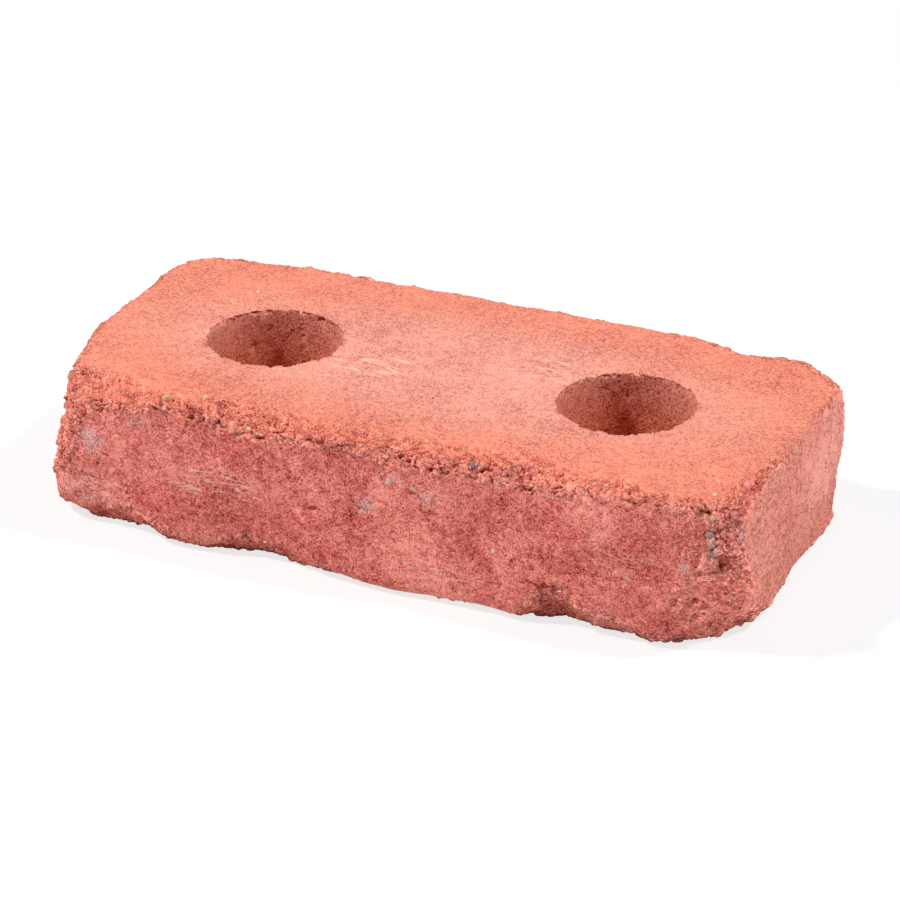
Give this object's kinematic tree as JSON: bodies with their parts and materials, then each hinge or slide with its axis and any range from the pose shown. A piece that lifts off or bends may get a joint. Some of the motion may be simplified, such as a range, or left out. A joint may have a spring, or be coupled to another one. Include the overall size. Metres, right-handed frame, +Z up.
{
  "type": "tumbled concrete walling block",
  "caption": "Long rectangular concrete walling block with round cores through its height, flat bed faces and broken, tumbled arrises and corners.",
  "frame": {"origin": "centre of the bottom bed face's box", "axes": "+X along the block's length, +Y from the front face to the back face, +Z up through the cores"},
  "size_m": [0.4395, 0.2142, 0.097],
  "materials": {
    "red_concrete": "rough pigmented concrete, matt, with a sandy grain and gravelly broken arrises"
  },
  "bodies": {
    "root": {"block": "red_concrete"}
  },
  "joints": []
}
